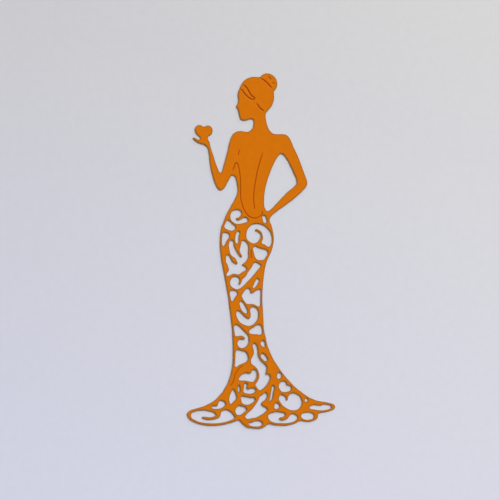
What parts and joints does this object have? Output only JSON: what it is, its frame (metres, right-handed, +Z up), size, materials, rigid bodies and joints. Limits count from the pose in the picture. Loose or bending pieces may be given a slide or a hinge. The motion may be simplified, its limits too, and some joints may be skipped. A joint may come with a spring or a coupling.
{
  "type": "paper doll",
  "caption": "Die-cut card figure of a lady seen from behind, hand raised under a heart, in a low-backed gown with a lace-cut skirt and flared train; lies flat.",
  "frame": {"origin": "on the back face that rests on the table, in the middle of the figure's height and width", "axes": "+Z up through the card towards the pressed front, +Y towards the head, +X to the viewer's right"},
  "size_m": [0.0492, 0.118, 0.0004],
  "materials": {
    "card": "uncoated dyed card, matt, fine fibre grain, compressed along the pressed lines"
  },
  "bodies": {
    "root": {"hair_bun": "card", "hair": "card", "fringe_lock": "card", "face": "card", "back": "card", "raised_arm": "card", "heart": "card", "bent_arm": "card", "bodice_side": "card", "hip_lace": "card", "thigh_lace": "card", "knee_lace": "card", "calf_lace": "card", "hem_medallion": "card", "train_left": "card", "hem_left_loop": "card", "hem_middle_loop": "card", "hem_right_loop": "card", "train_right": "card", "train_tip": "card"}
  },
  "joints": []
}
